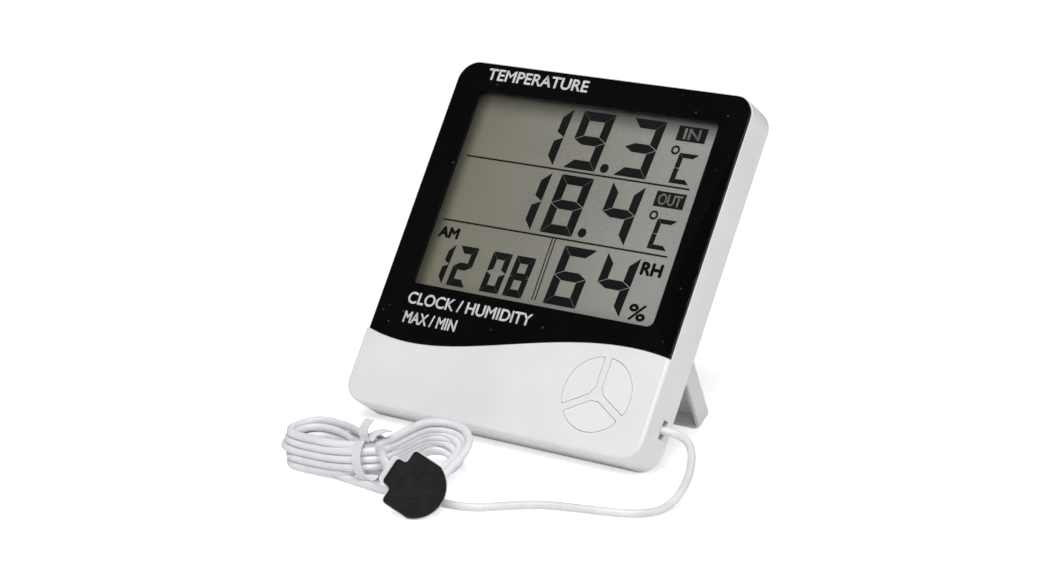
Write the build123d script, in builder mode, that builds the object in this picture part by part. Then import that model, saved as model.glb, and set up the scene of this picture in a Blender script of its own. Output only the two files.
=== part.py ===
from build123d import *
import os
from math import cos, pi, radians, sin, tan

os.makedirs("parts", exist_ok=True)

# A desk thermometer that keeps the highest and lowest readings of a room and of a remote probe.
# It leans back on a folding stand. All sizes are in millimetres.
#
# Places on the instrument are given as (across, up, depth): across from the middle to the right,
# up the leaning front face from its bottom edge, and depth behind the front face.

# ---------------------------------------------------------------- driving sizes: case
case_width = 98
case_height = 105
case_corner = 6.3
side_depth = 12.6
wall = 2.0
front_edge = 0.9
rear_edge = 0.8
lean = 33.5
overall_depth = 24.0
fit_gap = 0.15

# window, lens and display
lens_thickness = 1.2
print_thickness = 0.15
lens_inset = 0.35
lens_bevel = 0.2
front_inner = 3.0
window_width = case_width - 18
window_bottom = 36.85
window_top = case_height - 8.5
window_corner = 2.0
wave_reach = case_width / 2 + 5
wave_points = [(-wave_reach, 23.4), (-32.5, 19.45), (0, 24.7), (34, 30.1), (wave_reach, 28.0)]
polariser = 0.2
glass_thickness = 1.0
reflector_thickness = 0.3
glass_margin = 0.8
contact_ledge = 2.8
zebra_width = 2.0
zebra_end_gap = 2.0
frame_wall = 1.1
frame_corner = 1.0
frame_gap = 0.1

# circuit board
board_front = 6.9
board_thickness = 1.2
board_width = case_width - 14.4
board_bottom = 4.5
board_top = case_height - 4.7
boss_radius = 2.2
screw_radius = 1.0
screw_head_radius = 1.7
screw_head_height = 0.8
case_screw_length = 7.0

# three keys round one centre
key_centre = (case_width / 2 - 18, 15.75)
key_radius = 10.6
key_bridge = 1.95
key_hub = 1.9
key_gap = 0.15
key_corner = 0.5
key_face_wall = 2.0
key_flange = 0.6
key_flange_thickness = 0.6
flange_gap = 0.1
key_travel = 0.4
key_press_radius = 6.0
relief_radius = key_radius + 2.0
board_screw_across = board_width / 2 - 3.2
board_screw_places = [(-board_screw_across, 29.8), (board_screw_across, 29.8),
                      (-board_screw_across, 8.5), (key_centre[0] - 19, 8.5)]

# push switches
switch_size = 6.0
switch_corner = 0.4
switch_height = 3.3
plunger_radius = 1.7
plunger_reach = 0.7
running_gap = 0.05

# rear cover
cover_thickness = 2.0
block_half_width = case_width / 2 - 9
block_bottom = 5.5
block_top = case_height - 8
block_edge = 2.0
block_corner = 2.5
pad_depth = side_depth + 3.1
shell = 1.8

# battery, its room and its door
battery_radius = 5.25
battery_length = 43.3
battery_edge = 0.5
battery_nub_radius = 1.9
battery_nub = 1.2
battery_across = -(block_half_width - 10)
contact_thickness = 0.4
contact_inset = 0.75
spring_length = 2.4
spring_wire = 0.3
spring_radius = 3.0
spring_turns = 2
room_gap = 0.5
room_wall = 1.2
room_floor = overall_depth - 2 * battery_radius - 2.3
battery_room_bottom = 47.2
door_thickness = 1.6
door_overlap = 1.2
door_tongue = 0.7
door_gap = 0.15
door_rail = 1.4
ridge_height = 0.4
ridge_length = 8
ridge_width = 0.8
ridge_pitch = 4
ridge_drop = 12

# folding stand
stand_thickness = 5.7
hinge_up = battery_room_bottom - 6.7
hinge_depth = pad_depth + stand_thickness / 2 + 0.5
open_angle = 60
stand_width = 2 * block_half_width - 3.2
stand_wall = 1.3
stand_corner = 3.0
foot_edge = 0.6
pin_radius = 1.2
lug_thickness = 3.0
lug_radius = 2.1
side_gap = 0.3
lug_room = 1.1
stop_length = 2.6
stop_gap = 0.1
stop_half_width = stand_width / 2 - 8.4
stop_rib_across = 20
stop_rib_width = 6
leg_rib_across = 14
leg_rib_width = 1.0
leg_rib_height = 2.2

# back buttons, keyhole, vents, sounder
back_button_up = hinge_up - 18.5
back_button_across = 13
back_button_radius = 2.4
back_button_proud = 0.2
back_button_flange = 1.0
back_button_flange_thickness = 0.8
keyhole_up = block_top - 13.5
keyhole_radius = 3.5
keyhole_slot = 3.6
keyhole_rise = 7.0
vent_length = 16
vent_width = 1.6
vent_pitch = 3.2
vent_rows = 6
vent_across = block_half_width - 18
vent_up = hinge_up + 10
sounder_place = (block_half_width - 20, block_top - 13)
sounder_radius = 8.5
sounder_thickness = 0.4
sounder_hole_radius = 1.2

# probe lead and probe
lead_diameter = 2.2
lead_up = 11.7
lead_depth = 8.2
slot_height = 5.4
slot_depth = 2.4
lead_stop_wall = 1.1
lead_stop_length = 2.0
header_width = 5.6
header_length = 5.0
header_height = 3.6
probe_width = 15.2
probe_body = 12.8
probe_straight = 6.4
probe_neck_width = 7.2
probe_neck = 2.6
probe_collar = 0.9
probe_thickness = 4.4
probe_taper = 22
probe_rim = 0.3
pad_thickness = 1.0
probe_shoulder = 1.3
probe_corner = 1.0
probe_pocket = 2.6
bead_radius = 1.1
tie_width = 3.2
tie_thickness = 0.6
tie_ear = 7.0

# ---------------------------------------------------------------- the leaning frame
tilt = radians(lean)
depth_dir = Vector(0, cos(tilt), -sin(tilt))
up_dir = Vector(0, sin(tilt), cos(tilt))
corner_loss = sin(tilt) + cos(tilt) - 1

# The rounded lower rear edge rests on the ground, and the origin is under the middle of the instrument.
foot_height = rear_edge + (side_depth - rear_edge) * sin(tilt) - rear_edge * cos(tilt)
reach = block_top * sin(tilt) + overall_depth * cos(tilt)
case_foot = Vector(0, -(reach + (front_edge - block_edge) * corner_loss) / 2, foot_height)


def at(across, up, depth):
    """A point of the instrument from its place on the leaning case."""
    return case_foot + Vector(across, 0, 0) + up_dir * up + depth_dir * depth


def face_at(depth):
    """A plane parallel to the front face: x is across, y is up the face, and it looks forwards."""
    return Plane(origin=at(0, 0, depth), x_dir=(1, 0, 0), z_dir=depth_dir * -1)


def side_at(across):
    """A plane parallel to the side: x is depth behind the face, y is up the face, and it looks right."""
    return Plane(origin=at(across, 0, 0), x_dir=depth_dir, z_dir=(1, 0, 0))


def floor_at(up):
    """A plane square to the face, looking up it: x is across, y is depth behind the face."""
    return Plane(origin=at(0, up, 0), x_dir=(1, 0, 0), z_dir=up_dir)


front_to_back = Axis((0, 0, 0), depth_dir)
lens_seat = lens_thickness + print_thickness
window_height = window_top - window_bottom
window_middle = (0, (window_top + window_bottom) / 2)
board_back = board_front + board_thickness
cover_front = side_depth - cover_thickness
switch_front = board_front - switch_height
switch_back = board_back + switch_height


# ---------------------------------------------------------------- shared outlines
def above_wave(drop):
    """The front's area above its wavy dividing line, with the line lowered by drop."""
    with BuildSketch() as area:
        with BuildLine():
            wave = Spline([(x, y - drop) for x, y in wave_points])
            Polyline(wave @ 1, (wave_reach, case_height + 5), (-wave_reach, case_height + 5), wave @ 0)
        make_face()
    return area.sketch


def key_outline(grow):
    """One third of the round key group, pointing along x, grown by grow."""
    tip = (key_bridge / 2 - grow) / sin(radians(60))
    far = 2 * key_radius
    with BuildSketch() as outline:
        Circle(key_radius + grow)
        with BuildLine():
            Polyline((tip, 0), (tip + far / 2, far * sin(radians(60))),
                     (tip + far / 2, -far * sin(radians(60))), close=True)
        make_face(mode=Mode.INTERSECT)
        Circle(key_hub - grow, mode=Mode.SUBTRACT)
        fillet(outline.vertices(), key_corner)
    return outline.sketch


key_turns = {"mode": 30, "memory": 150, "adjust": 270}


def key_place(turn):
    """Where a key's middle lies on the front face."""
    angle = radians(turn)
    return (key_centre[0] + key_press_radius * cos(angle), key_centre[1] + key_press_radius * sin(angle))


case_screw_across = case_width / 2 - wall - boss_radius - 0.4
case_screw_rows = (wall + boss_radius + 1.8, case_height - wall - boss_radius - 1.0)
case_screw_places = [(x, y) for x in (-case_screw_across, case_screw_across) for y in case_screw_rows]

# ---------------------------------------------------------------- front housing
with BuildPart() as front_housing:
    with BuildSketch(face_at(side_depth)):
        with Locations((0, case_height / 2)):
            RectangleRounded(case_width, case_height, case_corner)
    extrude(amount=side_depth)
    fillet(front_housing.faces().sort_by(front_to_back)[0].edges(), front_edge)
    fillet(front_housing.faces().sort_by(front_to_back)[-1].edges(), rear_edge)
    # seat for the lens, open at the sides and the top
    with BuildSketch(face_at(lens_seat)):
        add(above_wave(fit_gap))
    extrude(amount=lens_seat + 1, mode=Mode.SUBTRACT)
    # inside
    with BuildSketch(face_at(side_depth)):
        with Locations((0, case_height / 2)):
            RectangleRounded(case_width - 2 * wall, case_height - 2 * wall, case_corner - wall)
    extrude(amount=side_depth - front_inner, mode=Mode.SUBTRACT)
    # a thinner front wall round the keys
    with BuildSketch(face_at(front_inner)):
        with Locations(key_centre):
            Circle(relief_radius)
    extrude(amount=front_inner - key_face_wall, mode=Mode.SUBTRACT)
    # display window
    with BuildSketch(face_at(front_inner)):
        with Locations(window_middle):
            RectangleRounded(window_width + glass_margin, window_height + glass_margin, window_corner)
    extrude(amount=front_inner, mode=Mode.SUBTRACT)
    # key openings
    with BuildSketch(face_at(front_inner)):
        with Locations(key_centre):
            for turn in key_turns.values():
                add(key_outline(0), rotation=turn)
    extrude(amount=front_inner + 1, mode=Mode.SUBTRACT)
    # bosses for the rear cover's screws and for the board
    with BuildSketch(face_at(cover_front)):
        with Locations(case_screw_places):
            Circle(boss_radius)
    extrude(amount=cover_front - front_inner)
    with BuildSketch(face_at(board_front)):
        with Locations(board_screw_places):
            Circle(boss_radius)
    extrude(amount=board_front - front_inner)
    with BuildSketch(face_at(cover_front)):
        with Locations(case_screw_places + board_screw_places):
            Circle(screw_radius)
    extrude(amount=cover_front - front_inner, mode=Mode.SUBTRACT)
    # slot for the probe lead
    with BuildSketch(side_at(case_width / 2 + 1)):
        with Locations((lead_depth, lead_up)):
            Rectangle(slot_depth, slot_height)
    extrude(amount=-(wall + 1.5), mode=Mode.SUBTRACT)
front_housing.part.label = "front_housing"
export_step(front_housing.part, "parts/front_housing.step")

# ---------------------------------------------------------------- lens and its printed border
with BuildPart() as display_lens:
    with BuildSketch(face_at(lens_thickness)):
        add(above_wave(0))
        with Locations((0, case_height / 2)):
            RectangleRounded(case_width - 2 * lens_inset, case_height - 2 * lens_inset,
                             case_corner - lens_inset, mode=Mode.INTERSECT)
    extrude(amount=lens_thickness)
    chamfer(display_lens.faces().sort_by(front_to_back)[0].edges(), lens_bevel)
display_lens.part.label = "display_lens"
export_step(display_lens.part, "parts/display_lens.step")

with BuildPart() as lens_print:
    with BuildSketch(face_at(lens_seat)):
        add(above_wave(0))
        with Locations((0, case_height / 2)):
            RectangleRounded(case_width - 2 * lens_inset, case_height - 2 * lens_inset,
                             case_corner - lens_inset, mode=Mode.INTERSECT)
        with Locations(window_middle):
            RectangleRounded(window_width, window_height, window_corner, mode=Mode.SUBTRACT)
    extrude(amount=print_thickness)
lens_print.part.label = "lens_print"
export_step(lens_print.part, "parts/lens_print.step")

# ---------------------------------------------------------------- liquid crystal display
glass_width = window_width + 2 * glass_margin
glass_top = window_top + glass_margin
rear_glass_bottom = window_bottom - 0.2
front_glass_bottom = rear_glass_bottom - contact_ledge
glass_height = glass_top - front_glass_bottom
display_layers = {
    "front_polariser": (front_inner, polariser, rear_glass_bottom),
    "front_glass": (front_inner + polariser, glass_thickness, front_glass_bottom),
    "rear_glass": (front_inner + polariser + glass_thickness, glass_thickness, rear_glass_bottom),
    "reflector": (front_inner + polariser + 2 * glass_thickness, reflector_thickness, rear_glass_bottom),
}
for layer_name, (layer_front, layer_thickness, layer_bottom) in display_layers.items():
    with BuildPart() as layer:
        with BuildSketch(face_at(layer_front + layer_thickness)):
            with Locations((0, (glass_top + layer_bottom) / 2)):
                Rectangle(glass_width, glass_top - layer_bottom)
        extrude(amount=layer_thickness)
    layer.part.label = f"lcd_{layer_name}"
    export_step(layer.part, f"parts/lcd_{layer_name}.step")

with BuildPart() as lcd_frame:
    with BuildSketch(face_at(board_front)):
        with Locations((0, (glass_top + front_glass_bottom) / 2)):
            RectangleRounded(glass_width + 2 * frame_wall, glass_height + 2 * frame_wall, frame_corner)
            Rectangle(glass_width + 2 * frame_gap, glass_height + 2 * frame_gap, mode=Mode.SUBTRACT)
    extrude(amount=board_front - front_inner)
lcd_frame.part.label = "lcd_frame"
export_step(lcd_frame.part, "parts/lcd_frame.step")

contact_front = front_inner + polariser + glass_thickness
with BuildPart() as zebra_strip:
    with BuildSketch(face_at(board_front)):
        with Locations((0, front_glass_bottom + contact_ledge / 2)):
            Rectangle(glass_width - 2 * zebra_end_gap, zebra_width)
    extrude(amount=board_front - contact_front)
zebra_strip.part.label = "zebra_strip"
export_step(zebra_strip.part, "parts/zebra_strip.step")

# ---------------------------------------------------------------- circuit board
lead_notch_depth = 6.8
lead_notch_gap = 2.0
with BuildPart() as circuit_board:
    with BuildSketch(face_at(board_back)):
        with Locations((0, (board_bottom + board_top) / 2)):
            Rectangle(board_width, board_top - board_bottom)
        with Locations(board_screw_places):
            Circle(screw_radius + fit_gap, mode=Mode.SUBTRACT)
        with Locations((board_width / 2, lead_up)):
            Rectangle(2 * lead_notch_depth, lead_diameter + 2 * lead_notch_gap, mode=Mode.SUBTRACT)
    extrude(amount=board_thickness)
circuit_board.part.label = "circuit_board"
export_step(circuit_board.part, "parts/circuit_board.step")

blob_radius = 6.5
blob_height = 1.3
blob_edge = 1.1
with BuildPart() as controller_blob:
    with BuildSketch(face_at(board_back + blob_height)):
        with Locations((4, 66)):
            Circle(blob_radius)
    extrude(amount=blob_height)
    fillet(controller_blob.faces().sort_by(front_to_back)[-1].edges(), blob_edge)
controller_blob.part.label = "controller_blob"
export_step(controller_blob.part, "parts/controller_blob.step")

crystal_radius = 1.0
crystal_length = 6.0
with BuildPart() as quartz_crystal:
    with BuildSketch(side_at(12)):
        with Locations((board_back + crystal_radius, 74)):
            Circle(crystal_radius)
    extrude(amount=crystal_length)
quartz_crystal.part.label = "quartz_crystal"
export_step(quartz_crystal.part, "parts/quartz_crystal.step")

chip_groups = {
    "chip_resistors": (1.6, 0.8, 0.5, (4, 3, 4, 3), (-10, 52)),
    "chip_capacitors": (2.0, 1.25, 0.9, (5, 4, 3, 2), (-8, 84)),
}
for group_name, (chip_length, chip_width, chip_height, grid, middle) in chip_groups.items():
    with BuildPart() as chips:
        with BuildSketch(face_at(board_back + chip_height)):
            with Locations(middle):
                with GridLocations(*grid):
                    Rectangle(chip_length, chip_width)
        extrude(amount=chip_height)
    chips.part.label = group_name
    export_step(chips.part, f"parts/{group_name}.step")

sensor_width = 8.0
sensor_length = 10.0
sensor_height = 4.5
sensor_edge = 0.5
with BuildPart() as humidity_sensor:
    with BuildSketch(face_at(board_back + sensor_height)):
        with Locations((block_half_width - 14, 58)):
            Rectangle(sensor_width, sensor_length)
    extrude(amount=sensor_height)
    fillet(humidity_sensor.faces().sort_by(front_to_back)[-1].edges(), sensor_edge)
humidity_sensor.part.label = "humidity_sensor"
export_step(humidity_sensor.part, "parts/humidity_sensor.step")

thermistor_radius = 1.3
thermistor_height = 3.5
with BuildPart() as room_thermistor:
    with BuildSketch(face_at(board_back + thermistor_height)):
        with Locations((board_width / 2 - 5.8, 52)):
            Circle(thermistor_radius)
    extrude(amount=thermistor_height)
    fillet(room_thermistor.faces().sort_by(front_to_back)[-1].edges(), thermistor_radius - 0.1)
room_thermistor.part.label = "room_thermistor"
export_step(room_thermistor.part, "parts/room_thermistor.step")

with BuildPart() as board_screws:
    with BuildSketch(face_at(board_back + screw_head_height)):
        with Locations(board_screw_places):
            Circle(screw_head_radius)
    extrude(amount=screw_head_height)
    with BuildSketch(face_at(board_back)):
        with Locations(board_screw_places):
            Circle(screw_radius)
    extrude(amount=board_back - front_inner)
board_screws.part.label = "board_screws"
export_step(board_screws.part, "parts/board_screws.step")


# ---------------------------------------------------------------- keys and their switches
def switch_body(front, back, place, opens_forward):
    """A square push switch with a blind hole for its plunger in the end that it opens to."""
    mouth = front if opens_forward else back
    bottom = front + switch_height / 2 if opens_forward else back - switch_height / 2
    with BuildPart() as body:
        with BuildSketch(face_at(back)):
            with Locations(place):
                RectangleRounded(switch_size, switch_size, switch_corner)
        extrude(amount=back - front)
        with BuildSketch(face_at(max(mouth, bottom))):
            with Locations(place):
                Circle(plunger_radius + running_gap)
        extrude(amount=abs(mouth - bottom), mode=Mode.SUBTRACT)
    return body.part


def plunger_rod(mouth, place):
    """A switch's plunger: it stands out of the mouth by its reach and as far inside it."""
    with BuildPart() as rod:
        with BuildSketch(face_at(mouth + plunger_reach)):
            with Locations(place):
                Circle(plunger_radius)
        extrude(amount=2 * plunger_reach)
    return rod.part


key_flange_front = key_face_wall + flange_gap
key_flange_back = key_flange_front + key_flange_thickness
for key_name, turn in key_turns.items():
    with BuildPart() as key:
        with BuildSketch(face_at(key_flange_back)):
            with Locations(key_centre):
                add(key_outline(-key_gap), rotation=turn)
        extrude(amount=key_flange_back)
        with BuildSketch(face_at(key_flange_back)):
            with Locations(key_centre):
                add(key_outline(key_flange), rotation=turn)
        extrude(amount=key_flange_thickness)
        with BuildSketch(face_at(switch_front - plunger_reach)):
            with Locations(key_place(turn)):
                Circle(plunger_radius)
        extrude(amount=switch_front - plunger_reach - key_flange_front)
    key.part.label = f"{key_name}_button"
    export_step(key.part, f"parts/{key_name}_button.step")

    plunger = plunger_rod(switch_front, key_place(turn))
    plunger.label = f"{key_name}_plunger"
    export_step(plunger, f"parts/{key_name}_plunger.step")

    switch = switch_body(switch_front, board_front, key_place(turn), True)
    switch.label = f"{key_name}_switch"
    export_step(switch, f"parts/{key_name}_switch.step")

back_buttons = {"reset": -back_button_across, "unit": back_button_across}
for button_name, across in back_buttons.items():
    place = (across, back_button_up)
    with BuildPart() as button:
        with BuildSketch(face_at(pad_depth + back_button_proud)):
            with Locations(place):
                Circle(back_button_radius)
        extrude(amount=back_button_proud + shell + back_button_flange_thickness)
        with BuildSketch(face_at(pad_depth - shell - flange_gap)):
            with Locations(place):
                Circle(back_button_radius + back_button_flange)
        extrude(amount=back_button_flange_thickness)
        with BuildSketch(face_at(pad_depth - shell - back_button_flange_thickness)):
            with Locations(place):
                Circle(plunger_radius)
        extrude(amount=pad_depth - shell - back_button_flange_thickness - switch_back - plunger_reach)
    button.part.label = f"{button_name}_button"
    export_step(button.part, f"parts/{button_name}_button.step")

    plunger = plunger_rod(switch_back, place)
    plunger.label = f"{button_name}_plunger"
    export_step(plunger, f"parts/{button_name}_plunger.step")

    switch = switch_body(board_back, switch_back, place, False)
    switch.label = f"{button_name}_switch"
    export_step(switch, f"parts/{button_name}_switch.step")

# ---------------------------------------------------------------- rear cover
split_up = hinge_up + 4.2
block_inside = block_half_width - shell
lug_outer = stand_width / 2 - stand_wall - side_gap
room_half_width = battery_radius + room_gap
room_length = battery_length + battery_nub + spring_length + 2 * contact_thickness
room_top = battery_room_bottom + room_length
battery_depth = room_floor + battery_radius + 0.2
door_half_width = room_half_width + door_overlap
door_bottom = battery_room_bottom - door_overlap - 0.2
door_front = overall_depth - door_thickness
door_top = block_top - 0.3
vent_places = [(vent_across, vent_up + row * vent_pitch) for row in range(vent_rows)]

with BuildPart() as rear_cover:
    with BuildSketch(face_at(side_depth)):
        with Locations((0, case_height / 2)):
            RectangleRounded(case_width - 2 * wall - 2 * fit_gap, case_height - 2 * wall - 2 * fit_gap,
                             case_corner - wall - fit_gap)
    extrude(amount=cover_thickness)
    # raised pad behind the stand, and the deep block above it
    with BuildSketch(face_at(pad_depth)):
        with Locations((0, (block_bottom + split_up + 2) / 2)):
            Rectangle(2 * block_half_width, split_up + 2 - block_bottom)
    extrude(amount=pad_depth - cover_front)
    with BuildSketch(face_at(overall_depth)):
        with Locations((0, (block_top + split_up) / 2)):
            RectangleRounded(2 * block_half_width, block_top - split_up, block_corner)
    extrude(amount=overall_depth - cover_front)
    fillet(rear_cover.faces().sort_by(front_to_back)[-1].edges(), block_edge)
    # hollow inside
    with BuildSketch(face_at(pad_depth - shell)):
        with Locations((0, (block_bottom + split_up) / 2 + shell)):
            Rectangle(2 * block_inside, split_up - block_bottom)
    extrude(amount=pad_depth - shell - cover_front, mode=Mode.SUBTRACT)
    with BuildSketch(face_at(overall_depth - shell)):
        with Locations((0, (block_top + split_up) / 2)):
            Rectangle(2 * block_inside, block_top - split_up - 2 * shell)
    extrude(amount=overall_depth - shell - cover_front, mode=Mode.SUBTRACT)
    # battery room: walls, then the room itself
    with BuildSketch(face_at(overall_depth - shell / 2)):
        with Locations((battery_across, (battery_room_bottom + room_top) / 2)):
            Rectangle(2 * (door_half_width + door_rail), room_length + 2 * room_wall)
    extrude(amount=overall_depth - shell / 2 - room_floor + room_wall)
    with BuildSketch(face_at(overall_depth)):
        with Locations((battery_across, (battery_room_bottom + room_top) / 2)):
            Rectangle(2 * room_half_width, room_length)
    extrude(amount=overall_depth - room_floor, mode=Mode.SUBTRACT)
    # slideway for the door, open at the top
    with BuildSketch(face_at(overall_depth)):
        with Locations((battery_across, (door_bottom - door_gap + block_top + 1) / 2)):
            Rectangle(2 * (door_half_width + door_gap), block_top + 1 - door_bottom + door_gap)
    extrude(amount=door_thickness + door_gap, mode=Mode.SUBTRACT)
    with BuildSketch(face_at(door_front + door_tongue + door_gap)):
        with Locations((battery_across, (door_bottom - door_gap + block_top + 1) / 2)):
            Rectangle(2 * (door_half_width + door_tongue + door_gap), block_top + 1 - door_bottom + door_gap)
    extrude(amount=door_tongue + 2 * door_gap, mode=Mode.SUBTRACT)
    # hinge lugs
    for side in (-1, 1):
        with BuildSketch(side_at(side * lug_outer)):
            with Locations((hinge_depth, hinge_up)):
                Circle(lug_radius)
            with Locations(((hinge_depth + pad_depth - shell / 2) / 2, hinge_up)):
                Rectangle(hinge_depth - pad_depth + shell / 2, 2 * lug_radius)
        extrude(amount=-side * lug_thickness)
        with BuildSketch(side_at(side * lug_outer)):
            with Locations((hinge_depth, hinge_up)):
                Circle(pin_radius + running_gap)
        extrude(amount=-side * lug_thickness, mode=Mode.SUBTRACT)
    # two ribs stop the open stand
    opened = radians(open_angle)
    stop_low = stop_length * cos(opened) + (stand_thickness / 2 - stand_wall) * sin(opened)
    stop_drop = (stand_thickness / 2 - stand_wall) * cos(opened) - stop_length * sin(opened)
    stop_end = (hinge_depth + stop_drop - stop_gap * sin(opened), hinge_up + stop_low + stop_gap * cos(opened))
    rise = (split_up + 1 - stop_end[1]) / tan(opened)
    for side in (-1, 1):
        with BuildSketch(side_at(side * stop_rib_across)):
            with BuildLine():
                Polyline((pad_depth - shell / 2, stop_end[1]), stop_end, (stop_end[0] + rise, split_up + 1),
                         (pad_depth - shell / 2, split_up + 1), close=True)
            make_face()
        extrude(amount=side * stop_rib_width)
    # back buttons, keyhole, vents, sounder hole and screw holes
    with BuildSketch(face_at(pad_depth)):
        with Locations((-back_button_across, back_button_up), (back_button_across, back_button_up)):
            Circle(back_button_radius + fit_gap)
    extrude(amount=2 * shell, mode=Mode.SUBTRACT)
    with BuildSketch(face_at(overall_depth)):
        with Locations((0, keyhole_up)):
            Circle(keyhole_radius)
        with Locations((0, keyhole_up + keyhole_rise / 2)):
            Rectangle(keyhole_slot, keyhole_rise)
        with Locations((0, keyhole_up + keyhole_rise)):
            Circle(keyhole_slot / 2)
        with Locations(vent_places):
            SlotOverall(vent_length, vent_width)
        with Locations(sounder_place):
            Circle(sounder_hole_radius)
    extrude(amount=2 * shell, mode=Mode.SUBTRACT)
    with BuildSketch(face_at(side_depth)):
        with Locations(case_screw_places):
            Circle(screw_radius + fit_gap)
    extrude(amount=cover_thickness, mode=Mode.SUBTRACT)
    with BuildSketch(face_at(side_depth)):
        with Locations(case_screw_places):
            Circle(screw_head_radius + fit_gap)
    extrude(amount=screw_head_height, mode=Mode.SUBTRACT)
rear_cover.part.label = "rear_cover"
export_step(rear_cover.part, "parts/rear_cover.step")

with BuildPart() as case_screws:
    with BuildSketch(face_at(side_depth)):
        with Locations(case_screw_places):
            Circle(screw_head_radius)
    extrude(amount=screw_head_height)
    with BuildSketch(face_at(side_depth - screw_head_height)):
        with Locations(case_screw_places):
            Circle(screw_radius)
    extrude(amount=case_screw_length)
case_screws.part.label = "case_screws"
export_step(case_screws.part, "parts/case_screws.step")

with BuildPart() as sounder_disc:
    with BuildSketch(face_at(overall_depth - shell)):
        with Locations(sounder_place):
            Circle(sounder_radius)
    extrude(amount=sounder_thickness)
sounder_disc.part.label = "sounder_disc"
export_step(sounder_disc.part, "parts/sounder_disc.step")

# ---------------------------------------------------------------- battery, contacts and door
with BuildPart() as battery_cell:
    with BuildSketch(floor_at(battery_room_bottom + contact_thickness + spring_length)):
        with Locations((battery_across, battery_depth)):
            Circle(battery_radius)
    extrude(amount=battery_length)
    fillet(battery_cell.edges().filter_by(GeomType.CIRCLE), battery_edge)
    with BuildSketch(floor_at(room_top - contact_thickness - battery_nub)):
        with Locations((battery_across, battery_depth)):
            Circle(battery_nub_radius)
    extrude(amount=battery_nub)
battery_cell.part.label = "battery_cell"
export_step(battery_cell.part, "parts/battery_cell.step")

contact_places = {"battery_contact_plus": room_top - contact_thickness, "battery_contact_minus": battery_room_bottom}
for contact_name, contact_up in contact_places.items():
    with BuildPart() as contact:
        with BuildSketch(floor_at(contact_up)):
            with Locations((battery_across, battery_depth)):
                Rectangle(2 * (battery_radius - contact_inset), 2 * (battery_radius - contact_inset))
        extrude(amount=contact_thickness)
    contact.part.label = contact_name
    export_step(contact.part, f"parts/{contact_name}.step")

with BuildPart() as battery_spring:
    with BuildLine() as coil:
        Helix(pitch=(spring_length - 2 * spring_wire) / spring_turns, height=spring_length - 2 * spring_wire,
              radius=spring_radius,
              center=at(battery_across, battery_room_bottom + contact_thickness + spring_wire, battery_depth),
              direction=up_dir)
    with BuildSketch(Plane(origin=coil.line @ 0, z_dir=coil.line % 0)):
        Circle(spring_wire)
    sweep()
battery_spring.part.label = "battery_spring"
export_step(battery_spring.part, "parts/battery_spring.step")

with BuildPart() as battery_door:
    door_middle = (battery_across, (door_bottom + door_top) / 2)
    with BuildSketch(face_at(overall_depth)):
        with Locations(door_middle):
            Rectangle(2 * door_half_width, door_top - door_bottom)
    extrude(amount=door_thickness)
    with BuildSketch(face_at(door_front + door_tongue)):
        with Locations(door_middle):
            Rectangle(2 * (door_half_width + door_tongue), door_top - door_bottom)
    extrude(amount=door_tongue)
    # the finger ridges stand a little proud
    with BuildSketch(face_at(overall_depth + ridge_height)):
        with Locations((battery_across, door_top - ridge_drop)):
            with GridLocations(1, ridge_pitch / 2, 1, 4):
                SlotOverall(ridge_length, ridge_width)
    extrude(amount=ridge_height + 0.2)
    # the top outer edge follows the block's rounded edge
    fillet(battery_door.faces().sort_by(Axis((0, 0, 0), up_dir))[-1].edges()
           .sort_by(front_to_back)[-1], block_edge - 0.5)
battery_door.part.label = "battery_door"
export_step(battery_door.part, "parts/battery_door.step")

# ---------------------------------------------------------------- folding stand
leg_angle = radians(open_angle - lean)
leg_dir = Vector(0, sin(leg_angle), -cos(leg_angle))
hinge_point = at(0, hinge_up, hinge_depth)
half_stand = stand_thickness / 2
leg_length = foot_edge + (hinge_point.Z - foot_edge - (half_stand - foot_edge) * sin(leg_angle)) / cos(leg_angle)


def leg_side_at(across):
    """A plane parallel to the stand's side: x runs down the leg from the hinge, y towards its outer face."""
    return Plane(origin=hinge_point + Vector(across, 0, 0), x_dir=leg_dir, z_dir=(1, 0, 0))


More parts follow.
